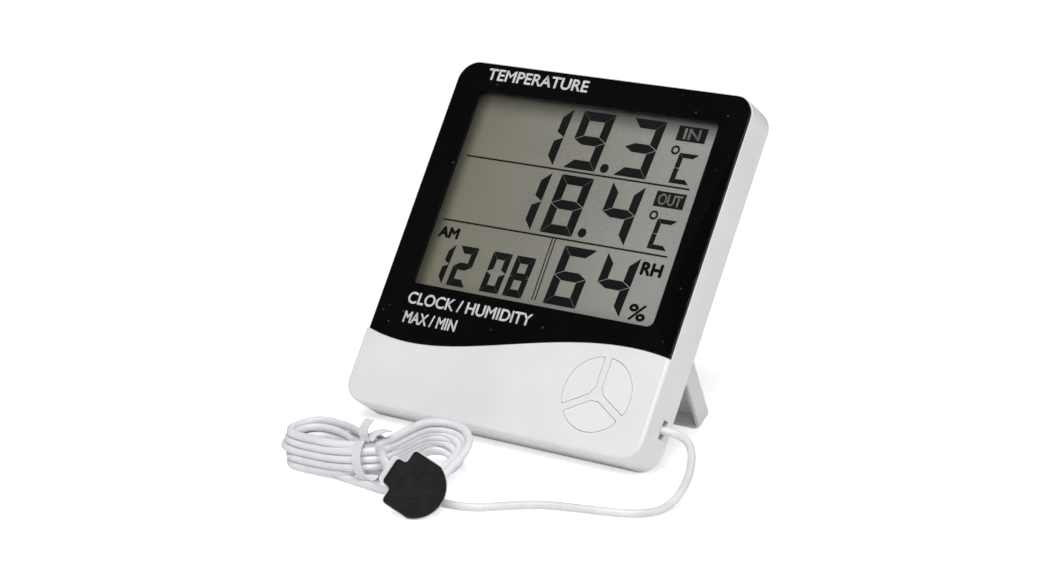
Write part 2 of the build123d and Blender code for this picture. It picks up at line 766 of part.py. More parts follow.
with BuildPart() as stand:
    with BuildSketch(leg_side_at(stand_width / 2)):
        Circle(half_stand)
        with Locations((leg_length / 2, 0)):
            Rectangle(leg_length, stand_thickness)
    extrude(amount=-stand_width)
    foot_corners = stand.edges().filter_by(lambda edge: abs((edge @ 0 - hinge_point).dot(leg_dir) - leg_length) < 0.01
                                           and abs((edge @ 1 - hinge_point).dot(leg_dir) - leg_length) < 0.01)
    fillet(foot_corners.filter_by(Axis.X, reverse=True), stand_corner)
    # the foot's long edges
    fillet(stand.faces().sort_by(Axis((0, 0, 0), leg_dir))[-1].edges().filter_by(Axis.X), foot_edge)
    # the stop: the outer plate runs on past the hinge
    with BuildSketch(leg_side_at(stop_half_width)):
        with Locations((-stop_length / 2, half_stand - stand_wall / 2)):
            Rectangle(stop_length, stand_wall)
    extrude(amount=-2 * stop_half_width)
    # hollow towards the case
    with BuildSketch(leg_side_at(stand_width / 2 - stand_wall)):
        with Locations(((leg_length - stand_wall - 6) / 2, -stand_wall / 2 - 1)):
            Rectangle(leg_length - stand_wall + 6, stand_thickness - stand_wall + 2)
    extrude(amount=-(stand_width - 2 * stand_wall), mode=Mode.SUBTRACT)
    # room for the lugs
    for side in (-1, 1):
        with BuildSketch(leg_side_at(side * (stand_width / 2 - stand_wall))):
            Rectangle(2 * (lug_radius + lug_room), 3 * stand_thickness)
        extrude(amount=-side * (stand_wall + 2 * side_gap + lug_thickness), mode=Mode.SUBTRACT)
        # hinge pin on the side wall
        with BuildSketch(leg_side_at(side * (stand_width / 2 - stand_wall / 2))):
            Circle(pin_radius)
        extrude(amount=-side * (stand_wall / 2 + side_gap + lug_thickness - 0.2))
    # stiffening ribs along the leg
    for across in (-leg_rib_across, leg_rib_across):
        with BuildSketch(leg_side_at(across + leg_rib_width / 2)):
            with Locations((leg_length / 2 + 2, half_stand - stand_wall - leg_rib_height / 2 + 0.1)):
                Rectangle(leg_length - 6, leg_rib_height)
        extrude(amount=-leg_rib_width)
stand.part.label = "stand"
export_step(stand.part, "parts/stand.step")


# ---------------------------------------------------------------- leads
def bend_radii(points):
    """The largest tangent arc for each corner of a route: 0.45 of its shorter run."""
    radii = []
    for before, corner, after in zip(points, points[1:], points[2:]):
        run_in = Vector(*corner) - Vector(*before)
        run_out = Vector(*after) - Vector(*corner)
        shorter = min(run_in.length, run_out.length)
        radii.append(0.45 * shorter / tan(radians(run_in.get_angle(run_out)) / 2))
    return radii


def lead_tube(points, diameter):
    """A round lead along straight runs joined by tangent arcs."""
    with BuildPart() as tube:
        with BuildLine() as route:
            FilletPolyline(*points, radius=bend_radii(points))
        with BuildSketch(Plane(origin=route.line @ 0, z_dir=route.line % 0)):
            Circle(diameter / 2)
        sweep(path=route.line)
    length = sum(edge.length for edge in route.edges())
    ratio = tube.part.volume / (length * pi * diameter ** 2 / 4)
    print("lead radii", [round(radius, 1) for radius in bend_radii(points)])
    print("lead length", round(length, 1), "volume over section times length", round(ratio, 4))
    return tube.part


lead_exit = at(case_width / 2, lead_up, lead_depth)
inner_route = [(lead_exit.X, lead_exit.Y, lead_exit.Z)]
for inwards, up, depth in [(8, lead_up, lead_depth), (15.5, lead_up + 0.3, lead_depth + 2.2),
                           (22, lead_up + 1.2, lead_depth + 1.4)]:
    point = at(case_width / 2 - inwards, up, depth)
    inner_route.append((point.X, point.Y, point.Z))
inner_lead = lead_tube(inner_route, lead_diameter)
inner_lead.label = "inner_lead"
export_step(inner_lead, "parts/inner_lead.step")

with BuildPart() as lead_header:
    with BuildSketch(face_at(board_back + header_height)):
        with Locations((case_width / 2 - 25, lead_up + 1.2)):
            Rectangle(header_width, header_length)
    extrude(amount=header_height)
lead_header.part.label = "lead_header"
export_step(lead_header.part, "parts/lead_header.step")

# a cable tie pulled tight round the lead inside the slot keeps it from pulling out
with BuildPart() as lead_stop:
    with BuildSketch(side_at(case_width / 2 - wall - 1.5)):
        with Locations((lead_depth, lead_up)):
            Circle(lead_diameter / 2 + lead_stop_wall)
            Circle(lead_diameter / 2, mode=Mode.SUBTRACT)
    extrude(amount=-lead_stop_length)
lead_stop.part.label = "lead_stop"
export_step(lead_stop.part, "parts/lead_stop.step")

# The lead outside: out of the slot, down to the ground, and round in front of the case to the hank.
floor = lead_diameter / 2 + 0.05
lead_route = [(lead_exit.X, lead_exit.Y, lead_exit.Z),
              (lead_exit.X + 6.5, lead_exit.Y, lead_exit.Z),
              (62.5, -30.0, 10.2),
              (66.0, -38.0, 5.4),
              (65.6, -47.0, floor + 0.2),
              (60.5, -56.0, floor),
              (49.0, -61.6, floor),
              (37.0, -66.6, floor),
              (25.5, -73.0, floor),
              (17.5, -74.5, floor)]
probe_lead = lead_tube(lead_route, lead_diameter)
probe_lead.label = "probe_lead"
export_step(probe_lead, "parts/probe_lead.step")

# The put-away turns, tied at the waist: (across, back, height) of each oval's middle, half width, half height
waist_middle = (-9.0, -72.6, 6.9)
waist_half_width = 6.0
waist_half_height = 6.1
hank_ovals = [(-47.0, -63.5, 5.0, 3.0, 3.0),
              (-38.0, -66.5, 5.2, 9.5, 5.2),
              (-23.0, -70.4, 5.6, 9.0, 5.6),
              (-11.5, waist_middle[1], waist_middle[2], waist_half_width, waist_half_height),
              (-6.5, waist_middle[1], waist_middle[2], waist_half_width, waist_half_height),
              (2.0, -64.0, 6.2, 13.5, 6.2),
              (11.0, -65.0, 5.4, 11.0, 5.4),
              (17.0, -68.5, 4.0, 6.5, 3.8),
              (19.0, -69.5, 3.0, 3.0, 2.5)]
with BuildPart() as lead_hank:
    for across, back, height, half_width, half_height in hank_ovals:
        with BuildSketch(Plane(origin=(across, back, height), x_dir=(0, 1, 0), z_dir=(1, 0, 0))):
            Ellipse(half_width, half_height)
    loft(ruled=True)
lead_hank.part.label = "lead_hank"
export_step(lead_hank.part, "parts/lead_hank.step")

# the flat tie round the waist, with its two twisted ends standing up
with BuildPart() as hank_tie:
    with BuildSketch(Plane(origin=(waist_middle[0] - tie_width / 2, waist_middle[1], waist_middle[2]),
                           x_dir=(0, 1, 0), z_dir=(1, 0, 0))):
        Ellipse(waist_half_width + tie_thickness, waist_half_height + tie_thickness)
        Ellipse(waist_half_width, waist_half_height, mode=Mode.SUBTRACT)
    extrude(amount=tie_width)
    for spread in (-35, 20):
        ear_up = Vector(sin(radians(spread)), 0.3, cos(radians(spread))).normalized()
        ear_foot = Vector(*waist_middle) + Vector(0, 0, waist_half_height)
        with BuildSketch(Plane(origin=ear_foot, x_dir=(0, 1, 0), z_dir=ear_up)):
            Rectangle(tie_thickness, tie_width)
        extrude(amount=tie_ear)
hank_tie.part.label = "hank_tie"
export_step(hank_tie.part, "parts/hank_tie.step")

# ---------------------------------------------------------------- probe
probe_bearing = radians(35.15)
probe_lean = radians(18)
probe_roll = radians(-33.5)
probe_middle = Vector(17.3, -87.3, 7.6)
probe_normal = Vector(sin(probe_bearing) * cos(probe_lean), -cos(probe_bearing) * cos(probe_lean), sin(probe_lean))
probe_across = Vector(cos(probe_bearing), sin(probe_bearing), 0)
probe_x = probe_across * cos(probe_roll) + probe_normal.cross(probe_across) * sin(probe_roll)
probe_face = Plane(origin=probe_middle, x_dir=probe_x, z_dir=probe_normal)


def probe_at(depth):
    """A plane behind the pad's face: x points from the neck to the round end."""
    return probe_face.offset(-depth)


def probe_outline(grow, neck_extra):
    """The probe's face: a neck, two square shoulders, straight sides and a round end."""
    shoulder = -probe_body / 2 - grow
    side = probe_width / 2 + grow
    neck_side = probe_neck_width / 2 + grow
    neck_end = shoulder - probe_neck - neck_extra
    round_start = -probe_body / 2 + probe_shoulder + probe_straight
    with BuildSketch() as outline:
        with BuildLine():
            Polyline((round_start, side), (shoulder, side), (shoulder, neck_side), (neck_end, neck_side),
                     (neck_end, -neck_side), (shoulder, -neck_side), (shoulder, -side), (round_start, -side))
            ThreePointArc((round_start, -side), (probe_body / 2 + grow, 0), (round_start, side))
        make_face()
        fillet(outline.vertices(), probe_corner)
    return outline.sketch


with BuildPart() as probe_pad:
    with BuildSketch(probe_at(pad_thickness)):
        add(probe_outline(0, 0))
    extrude(amount=pad_thickness)
probe_pad.part.label = "probe_pad"
export_step(probe_pad.part, "parts/probe_pad.step")

# the lead leaves the neck slanting backwards
neck_dir = (probe_face.x_dir * -1 - probe_normal * 0.9).normalized()
lead_in_neck = probe_at(pad_thickness + 2.2).origin - probe_face.x_dir * 7.0 - neck_dir * 1.2
with BuildPart() as probe_housing:
    with BuildSketch(probe_at(pad_thickness)):
        add(probe_outline(probe_rim, probe_collar))
    extrude(amount=-probe_thickness, taper=probe_taper)
    with BuildSketch(probe_at(pad_thickness)):
        RectangleRounded(probe_body - 5, probe_width - 5, 1.5)
    extrude(amount=-probe_pocket, mode=Mode.SUBTRACT)
    with BuildSketch(Plane(origin=lead_in_neck, z_dir=neck_dir)):
        Circle(lead_diameter / 2)
    extrude(amount=8, mode=Mode.SUBTRACT)
probe_housing.part.label = "probe_housing"
export_step(probe_housing.part, "parts/probe_housing.step")

with BuildPart() as probe_bead:
    with BuildSketch(probe_at(pad_thickness + probe_pocket)):
        with Locations((1.5, 0)):
            Circle(bead_radius)
    extrude(amount=2 * bead_radius)
    fillet(probe_bead.edges().filter_by(GeomType.CIRCLE), bead_radius - 0.1)
probe_bead.part.label = "probe_bead"
export_step(probe_bead.part, "parts/probe_bead.step")

# the lead's last stretch, from inside the probe's neck to the tied waist
neck_bend = lead_in_neck + neck_dir * 6.7
tail_route = [(lead_in_neck.X, lead_in_neck.Y, lead_in_neck.Z),
              (neck_bend.X, neck_bend.Y, neck_bend.Z),
              (-2.0, -79.6, 12.0),
              (-6.8, -75.0, 9.8)]
probe_lead_tail = lead_tube(tail_route, lead_diameter)
probe_lead_tail.label = "probe_lead_tail"
export_step(probe_lead_tail, "parts/probe_lead_tail.step")
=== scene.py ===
# %% [markdown]
# # A maximum and minimum thermometer, dressed for a studio view
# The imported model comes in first, as a fixed frame: every piece of it has its real size and place.
# This lesson adds what the frame doesn't have: the display's figures, the printed words, the lead in
# its tied hank, and a worked-out finish for each real material.

# %% Load the frame
from math import cos, pi, radians, sin, tan

import bpy
from mathutils import Matrix, Vector


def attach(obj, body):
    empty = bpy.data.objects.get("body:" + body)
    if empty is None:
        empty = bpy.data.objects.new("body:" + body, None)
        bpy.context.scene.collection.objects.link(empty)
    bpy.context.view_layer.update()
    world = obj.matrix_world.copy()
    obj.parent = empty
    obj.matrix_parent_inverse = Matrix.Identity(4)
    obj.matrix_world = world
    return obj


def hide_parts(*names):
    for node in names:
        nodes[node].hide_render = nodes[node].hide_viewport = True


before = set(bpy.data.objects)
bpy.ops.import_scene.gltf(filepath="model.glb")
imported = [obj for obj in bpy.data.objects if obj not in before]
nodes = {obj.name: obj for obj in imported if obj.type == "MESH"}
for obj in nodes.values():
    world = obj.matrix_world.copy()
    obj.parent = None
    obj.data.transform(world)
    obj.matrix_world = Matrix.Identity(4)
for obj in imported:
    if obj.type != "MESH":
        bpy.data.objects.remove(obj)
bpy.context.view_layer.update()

mm = 0.001

# %% [markdown]
# ## Where things are on the leaning case
# The case leans back on its stand. A place on it is given as across from the middle, up the front
# face from its bottom edge, and depth behind the face, all in millimetres. One matrix turns those
# three into the room's x, y and z, so flat work is drawn upright and then laid on the face. A second
# matrix does the same for work on the back, which is read from behind.

# %% The leaning frame
lean = radians(33.5)
across_dir = Vector((1, 0, 0))
up_dir = Vector((0, sin(lean), cos(lean)))
depth_dir = Vector((0, cos(lean), -sin(lean)))
case_foot = Vector((0, -36.563, 6.646))
window_left = -40.0
window_top = 96.5


def laid_on(right, towards, depth):
    """The matrix that lays flat work on the case, from its right and the way that it faces."""
    turn = Matrix((right, up_dir, towards)).transposed().to_4x4()
    return Matrix.Scale(mm, 4) @ Matrix.Translation(case_foot + depth_dir * depth) @ turn


def on_front(depth):
    """Where work on the front face goes, at a depth behind the face."""
    return laid_on(across_dir, -depth_dir, depth)


def on_back(depth):
    """Where work on the back goes, so that it reads from behind."""
    return laid_on(-across_dir, depth_dir, depth)


# %% [markdown]
# ## Camera, floor and light
# The camera stands to the right of the instrument, a little above it and well back, so the lines of
# the case hardly converge. The floor is one pale sheet that fills the view. Three soft boxes light it:
# a strong one in front, and weaker ones at the right and behind. The surroundings are kept dim, because
# the glossy black panel mirrors what is in front of it to the left, and it should stay black. The floor
# glows more to the camera than to the object, so it looks white without lighting the case from below.

# %% The camera
camera_data = bpy.data.cameras.new("studio_camera")
camera = bpy.data.objects.new("studio_camera", camera_data)
bpy.context.scene.collection.objects.link(camera)
azimuth = radians(35.15)
elevation = radians(15.2)
camera_right = Vector((cos(azimuth), sin(azimuth), 0))
camera_back = Vector((sin(azimuth) * cos(elevation), -cos(azimuth) * cos(elevation), sin(elevation)))
camera_up = camera_back.cross(camera_right)
camera_turn = Matrix((camera_right, camera_up, camera_back)).transposed().to_4x4()
camera.matrix_world = Matrix.Translation(Vector((410.0, -598.6, 236.1)) * mm) @ camera_turn
camera_data.lens = 92.86
camera_data.sensor_width = 36
camera_data.clip_start = 0.05
bpy.context.scene.camera = camera
bpy.context.scene.view_settings.view_transform = "Standard"
print("camera at", camera.matrix_world.translation, "lens", camera_data.lens, "mm")


# %% Colours and shader nodes
def srgb(hex_code):
    """A hex colour as the linear red, green, blue and alpha that a shader wants."""
    parts = [int(hex_code[start:start + 2], 16) / 255 for start in (1, 3, 5)]
    linear = [part / 12.92 if part <= 0.04045 else ((part + 0.055) / 1.055) ** 2.4 for part in parts]
    return (*linear, 1.0)


def add_node(tree, kind, inputs=None, **settings):
    """Adds one shader node, sets its options, and fills or links its inputs."""
    node = tree.nodes.new(kind)
    for option, value in settings.items():
        setattr(node, option, value)
    for socket, value in (inputs or {}).items():
        if isinstance(value, bpy.types.NodeSocket):
            tree.links.new(value, node.inputs[socket])
        else:
            node.inputs[socket].default_value = value
    return node


def new_finish(name):
    """An empty material, its node tree, and the coordinates of the piece itself."""
    finish = bpy.data.materials.new(name)
    finish.use_nodes = True
    finish.node_tree.nodes.clear()
    place = add_node(finish.node_tree, "ShaderNodeTexCoord").outputs["Object"]
    return finish, finish.node_tree, place


def on_the_face(tree, place):
    """Sockets that say how far a point is across, up the face and behind it, in mm."""
    from_foot = add_node(tree, "ShaderNodeVectorMath", {0: place, 1: case_foot * mm}, operation="SUBTRACT")
    return [add_node(tree, "ShaderNodeVectorMath", {0: from_foot.outputs["Vector"], 1: direction / mm},
                     operation="DOT_PRODUCT").outputs["Value"]
            for direction in (across_dir, up_dir, depth_dir)]


def blend(tree, factor, under, over, mode="MIX"):
    """Lays one colour over another by a factor, and gives the result's colour socket."""
    mixer = add_node(tree, "ShaderNodeMix", {"Factor": factor}, data_type="RGBA", blend_type=mode)
    for socket, colour in ((6, under), (7, over)):
        if isinstance(colour, str):
            mixer.inputs[socket].default_value = srgb(colour)
        else:
            tree.links.new(colour, mixer.inputs[socket])
    return mixer.outputs[2]


def two_tones(tree, factor, low, high, low_at=0.35, high_at=0.65):
    """A ramp from one colour to another, as a colour socket."""
    ramp = add_node(tree, "ShaderNodeValToRGB", {"Fac": factor})
    for stop, colour, where in zip(ramp.color_ramp.elements, (low, high), (low_at, high_at)):
        stop.color = srgb(colour)
        stop.position = where
    return ramp.outputs["Color"]


def dust(tree, place, spacing, colour):
    """Scattered specks of dust, one here and there in cells of some mm, as a colour to add."""
    cells = add_node(tree, "ShaderNodeTexVoronoi", {"Vector": place, "Scale": 1 / (spacing * mm)})
    specks = add_node(tree, "ShaderNodeValToRGB", {"Fac": cells.outputs["Distance"]})
    for stop, tone, where in zip(specks.color_ramp.elements, (colour, "#000000"), (0.04, 0.08)):
        stop.color = srgb(tone)
        stop.position = where
    return specks.outputs["Color"]


def well_painted_shade(tree, place, tone):
    """Painted shade: turns a tone black in the housing's well, behind the lens, where the well lies in
    shadow.
    """
    across, up, depth = on_the_face(tree, place)
    well_half_width = 46.0
    well_middle_up = 66.0
    well_half_height = 36.0
    just_behind_lens = 1.5
    tests = [add_node(tree, "ShaderNodeMath", {0: across, 1: 0.0, 2: well_half_width}, operation="COMPARE"),
             add_node(tree, "ShaderNodeMath", {0: up, 1: well_middle_up, 2: well_half_height},
                      operation="COMPARE"),
             add_node(tree, "ShaderNodeMath", {0: depth, 1: just_behind_lens}, operation="GREATER_THAN")]
    in_shaded_well = tests[0].outputs["Value"]
    for test in tests[1:]:
        in_shaded_well = add_node(tree, "ShaderNodeMath", {0: in_shaded_well, 1: test.outputs["Value"]},
                           operation="MULTIPLY").outputs["Value"]
    return blend(tree, in_shaded_well, tone, "#050506")


def moulded(name, colour, shade, grain, relief, roughness, shade_the_well=False, skin=0.5, dusty=False):
    """Moulded plastic: an even colour that drifts a little, with the mould's grain in mm on it."""
    finish, tree, place = new_finish(name)
    drift = add_node(tree, "ShaderNodeTexNoise", {"Vector": place, "Scale": 1 / (25 * mm), "Detail": 4.0})
    grains = add_node(tree, "ShaderNodeTexNoise", {"Vector": place, "Scale": 1 / (grain * mm), "Detail": 2.0})
    gloss = add_node(tree, "ShaderNodeMapRange",
                     {"Value": drift.outputs["Fac"], "From Min": 0.3, "From Max": 0.7,
                      "To Min": roughness - 0.05, "To Max": roughness + 0.05})
    bump = add_node(tree, "ShaderNodeBump", {"Height": grains.outputs["Fac"], "Strength": relief,
                                             "Distance": 0.1 * mm})
    tone = two_tones(tree, drift.outputs["Fac"], shade, colour)
    # painted shade: the housing's well behind the lens is turned black for its shadow
    if shade_the_well:
        tone = well_painted_shade(tree, place, tone)
    if dusty:
        tone = blend(tree, 1.0, tone, dust(tree, place, 4.0, "#55565a"), "ADD")
    surface = add_node(tree, "ShaderNodeBsdfPrincipled",
                       {"Base Color": tone, "Roughness": gloss.outputs["Result"],
                        "Normal": bump.outputs["Normal"], "IOR": 1.53, "Specular IOR Level": skin})
    add_node(tree, "ShaderNodeOutputMaterial", {"Surface": surface.outputs["BSDF"]})
    return finish


def coat(finish, *names):
    """Gives CAD nodes a finish in place of the one they came with."""
    for name in names:
        for place in nodes[name].material_slots:
            place.material = finish


# %% [markdown]
# ## Pieces made by hand
# Each new piece starts from a primitive, is shaped in edit mode and has its modifiers applied. Its
# place goes into its mesh, so the object itself stays at the origin, as the frame's own nodes do.

# %% Helpers for hand-made pieces
def start_piece(name, primitive, **sizes):
    """Adds a primitive with nothing else selected, and returns it under its name."""
    bpy.ops.object.select_all(action="DESELECT")
    primitive(**sizes)
    piece = bpy.context.object
    piece.name = name
    piece.data.name = name
    return piece


def select_corners(piece, chosen):
    """Goes into edit mode with only the chosen corners selected."""
    bpy.ops.object.mode_set(mode="EDIT")
    bpy.ops.mesh.select_mode(type="VERT")
    bpy.ops.mesh.select_all(action="DESELECT")
    bpy.ops.object.mode_set(mode="OBJECT")
    for corner in piece.data.vertices:
        corner.select = chosen(corner.co)
    bpy.ops.object.mode_set(mode="EDIT")


def move_corners(piece, chosen, by):
    """Moves the chosen corners of a piece by a vector."""
    select_corners(piece, chosen)
    bpy.ops.transform.translate(value=by)
    bpy.ops.object.mode_set(mode="OBJECT")


def add_modifier(piece, kind, **settings):
    """Adds one modifier to a piece and applies it."""
    bpy.ops.object.select_all(action="DESELECT")
    piece.select_set(True)
    bpy.context.view_layer.objects.active = piece
    modifier = piece.modifiers.new(kind.lower(), kind)
    for option, value in settings.items():
        setattr(modifier, option, value)
    bpy.ops.object.modifier_apply(modifier=modifier.name)


def bake_place(piece):
    """Puts a piece's turn, size and place into its mesh."""
    bpy.ops.object.select_all(action="DESELECT")
    piece.select_set(True)
    bpy.context.view_layer.objects.active = piece
    bpy.ops.object.transform_apply(location=True, rotation=True, scale=True)


def join_pieces(name, pieces):
    """Joins pieces into one under one name."""
    bpy.ops.object.select_all(action="DESELECT")
    for piece in pieces:
        piece.select_set(True)
    bpy.context.view_layer.objects.active = pieces[0]
    if len(pieces) > 1:
        bpy.ops.object.join()
    joined = bpy.context.object
    joined.name = name
    joined.data.name = name
    return joined


def copy_piece(piece):
    """A copy of a piece with a mesh of its own."""
    twin = piece.copy()
    twin.data = piece.data.copy()
    bpy.context.scene.collection.objects.link(twin)
    return twin


def complete(piece, finish, body="case"):
    """Gives a finished piece its material and its body, and says how big it is."""
    piece.data.materials.clear()
    piece.data.materials.append(finish)
    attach(piece, body)
    print(piece.name, "has", len(piece.data.polygons), "faces, size in mm",
          [round(side / mm, 2) for side in piece.dimensions])
    return piece


# %% The floor
floor_finish, tree, place = new_finish("white_paper_sweep")
fibres = add_node(tree, "ShaderNodeTexNoise", {"Vector": place, "Scale": 1 / (3 * mm), "Detail": 3.0})
seen = add_node(tree, "ShaderNodeLightPath").outputs["Is Camera Ray"]
glow = add_node(tree, "ShaderNodeMapRange", {"Value": seen, "To Min": 0.08, "To Max": 0.55})
paper = add_node(tree, "ShaderNodeBsdfPrincipled",
                 {"Base Color": two_tones(tree, fibres.outputs["Fac"], "#f0f0f0", "#f6f6f6"),
                  "Roughness": 0.9, "Emission Color": srgb("#ffffff"),
                  "Emission Strength": glow.outputs["Result"], "Specular IOR Level": 0.1})
add_node(tree, "ShaderNodeOutputMaterial", {"Surface": paper.outputs["BSDF"]})
floor = start_piece("paper_floor", bpy.ops.mesh.primitive_plane_add, size=8)
floor.data.materials.append(floor_finish)

# %% The lights
light_places = {
    "key_box": ((0.35, -0.75, 1.25), 1.0, 21.0),
    "side_box": ((1.35, 0.25, 0.55), 0.9, 3.4),
    "back_box": ((-0.5, 1.2, 1.0), 0.9, 5.0),
}
for light_name, (spot, side, power) in light_places.items():
    light_data = bpy.data.lights.new(light_name, "AREA")
    light_data.size = side
    light_data.energy = power
    light = bpy.data.objects.new(light_name, light_data)
    light.location = spot
    light.rotation_euler = (Vector(spot) - Vector((0, 0, 0.04))).to_track_quat("Z", "Y").to_euler()
    bpy.context.scene.collection.objects.link(light)
world = bpy.data.worlds.new("dim_studio")
world.use_nodes = True
world.node_tree.nodes["Background"].inputs["Color"].default_value = srgb("#ffffff")
world.node_tree.nodes["Background"].inputs["Strength"].default_value = 0.07
bpy.context.scene.world = world

# %% [markdown]
# ## The probe's lead
# The lead is a soft white cable, 2.2 mm across, moulded in one length. It leaves the slot in the
# case's side, drops to the ground, runs round in front, and is wound on itself and tied at the waist.
# A rigid tube could be swept along arcs, but a real lead has no arcs and no straight runs, so the
# whole of it is one smooth NURBS line: the run, every turn of the hank, and the last stretch up to
# the probe. A turn has two lobes. The left one lies along the ground in front, and the right one
# rises as an arch towards the case and comes back low. Each fold is half a circle, drawn by the corners
# of half an octagon, because a cable springs open at a fold. At the tie every strand has its own slot.

# %% The lead's free run and the slots at the tie
lead_diameter = 2.2
free_run = [(49, -23.27, 11.88), (55.5, -23.27, 11.88), (62.5, -30, 10.2), (66, -38, 5.4),
            (66.6, -47.5, 1.35), (63.5, -55.3, 1.15), (55.5, -58.7, 1.15), (46.0, -61.3, 1.15),
            (38.0, -64.0, 1.15), (31.5, -69.8, 1.15), (26.0, -75.8, 1.15), (19.0, -77.6, 1.15)]
under_probe = [(10.5, -76.9, 1.15), (3.0, -78.6, 1.15), (-2.6, -78.7, 1.2), (-8.0, -77.9, 1.3),
               (-14.0, -77.0, 1.15), (-20.0, -75.9, 1.15), (-25.0, -73.2, 1.15), (-28.0, -68.4, 1.15)]
last_stretch = [(-9.2, -72.7, 9.3), (-4.0, -75.2, 10.8), (0.2, -80.8, 11.9), (4.6, -85.5, 11.8),
                (11.0, -87.5, 10.2)]
tie_across = -9.2
# (back, height) of each turn's strand at the tie, on its way right and on its way left
going_right = [(-74.7, 4.0), (-76.7, 5.1), (-76.7, 7.3), (-76.7, 9.5), (-74.7, 10.6),
               (-74.7, 6.2), (-74.7, 8.4), (-72.6, 11.5)]
going_left = [(-70.6, 3.7), (-70.6, 5.9), (-70.6, 8.1), (-70.6, 10.3),
              (-68.6, 4.8), (-68.6, 7.0), (-68.6, 9.2), (-72.6, 5.0)]
turns = len(going_right)
levels = 5
# how far a half octagon's corners stand from its middle, as a share of the fold's radius
corner_share = 0.41


def left_lobe(turn, leaving_height, arriving_height):
    """The left half of a turn, from the back of the tie round a half circle to its front."""
    level, layer = turn % levels, turn // levels
    height = 1.2 + 2.15 * level + layer
    sway = 0.5 * sin(2.3 * turn)
    bend = 6.1 - 0.7 * layer
    end = bend - 37.6 + 2 * layer + 1.1 * sin(1.9 * turn + 0.8)
    middle = -70.9
    lift = 1.0 if level == levels - 1 else 0.3
    return [(-17, -67.4 - 0.7 * layer + sway, (arriving_height + height) / 2 + 0.4),
            (-25, middle + bend + 0.5 * sway, height + lift),
            (end - corner_share * bend, middle + bend, height + lift),
            (end - bend, middle + corner_share * bend, height + 0.1),
            (end - bend, middle - corner_share * bend, height),
            (end - corner_share * bend, middle - bend, height),
            (-26, middle - bend, height),
            (-18, middle - bend - 0.2, 0.75 * height + 0.25 * leaving_height)]


def right_lobe(turn, arriving, leaving):
    """The right half of a turn: from the tie up over the arch, round it and back low behind the probe."""
    level, layer = turn % levels, turn // levels
    arch = 3.4 + 2.1 * level + layer
    side = 4.8 + 1.1 * level - 1.2 * layer
    bend = (side + 5.2) / 2
    middle = side - bend
    back = -50.8 - bend - 0.9 * layer + 0.5 * sin(1.9 * turn + 1.0)
    low = 1.2 + 2.1 * (level // 3) + 0.5 * layer
    spread = 1.1 * (level % 3) + layer
    return [(tie_across, *arriving),
            (-5.6, 0.6 * arriving[0] - 27.7, 0.7 * arch + 0.3 * arriving[1]),
            (-4.8, -68, arch + 0.5),
            (-5.1, -61.5, arch + 0.8),
            (middle - bend, back + corner_share * bend, arch + 0.7),
            (middle - corner_share * bend, back + bend, arch + 0.2),
            (middle + corner_share * bend, back + bend, arch - 0.7),
            (side, back + corner_share * bend, 0.75 * arch - 0.3),
            (side + 0.4, -64.4 + 0.4 * spread, 0.4 * arch + 0.3),
            (side, -69.6 + spread, 0.15 * arch + 1.2),
            (side - 3.4, -74.2 + spread, low),
            (-4.4, -73.8 + 0.9 * spread, low + 0.6),
            (tie_across, *leaving)]


# %% The lead as one spline
lead_points = free_run + under_probe
lead_points += left_lobe(0, going_right[0][1], under_probe[-1][2])[2:]
for turn in range(turns):
    lead_points += right_lobe(turn, going_right[turn], going_left[turn])
    next_height = going_right[turn + 1][1] if turn + 1 < turns else last_stretch[0][2]
    lead_points += left_lobe(turn + 1, next_height, going_left[turn][1])
lead_points += last_stretch

lead_curve = bpy.data.curves.new("probe_cord", "CURVE")
lead_curve.dimensions = "3D"
lead_line = lead_curve.splines.new("NURBS")
lead_line.points.add(len(lead_points) - 1)
for control, point in zip(lead_line.points, lead_points):
    control.co = (*(Vector(point) * mm), 1)
lead_line.order_u = 3
lead_line.use_endpoint_u = True
lead_curve.resolution_u = 8
lead_curve.bevel_depth = lead_diameter / 2 * mm
lead_curve.bevel_resolution = 4
lead_curve.use_fill_caps = True
probe_cord = bpy.data.objects.new("probe_cord", lead_curve)
bpy.context.scene.collection.objects.link(probe_cord)
print("the lead has", len(lead_points), "control points in", turns, "full turns")

# %% [markdown]
# ### Soft PVC
# The cable's jacket is plasticised PVC. It is a cool white, a little waxy, and light goes a short way
# into it, which softens the shadow between two strands. Handling leaves faint grey marks.

# %% The lead's finish
lead_finish, tree, place = new_finish("soft_white_pvc")
handled = add_node(tree, "ShaderNodeTexNoise", {"Vector": place, "Scale": 1 / (9 * mm), "Detail": 5.0})
die_lines = add_node(tree, "ShaderNodeTexNoise", {"Vector": place, "Scale": 1 / (0.8 * mm), "Detail": 2.0})
skin = add_node(tree, "ShaderNodeBump", {"Height": die_lines.outputs["Fac"], "Strength": 0.12,
                                         "Distance": 0.1 * mm})
jacket = add_node(tree, "ShaderNodeBsdfPrincipled",
                  {"Base Color": two_tones(tree, handled.outputs["Fac"], "#dddade", "#ebe9ee", 0.3, 0.6),
                   "Roughness": 0.42, "Normal": skin.outputs["Normal"], "IOR": 1.53,
                   "Subsurface Weight": 0.25, "Subsurface Radius": (1.0, 0.9, 0.85),
                   "Subsurface Scale": 0.4 * mm})
add_node(tree, "ShaderNodeOutputMaterial", {"Surface": jacket.outputs["BSDF"]})
lead_curve.materials.append(lead_finish)
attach(probe_cord, "case")
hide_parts("probe_lead", "lead_hank", "probe_lead_tail")
coat(lead_finish, "inner_lead")

# %% [markdown]
# ### The tie
# A flat twist tie holds the waist: a strip of paper-covered wire, wrapped once, with its two ends
# twisted and standing up. The loop starts as an open cylinder, is leant so its top tips left, and is
# given the strip's thickness. Each end starts as a short strip and is extruded along its bend.

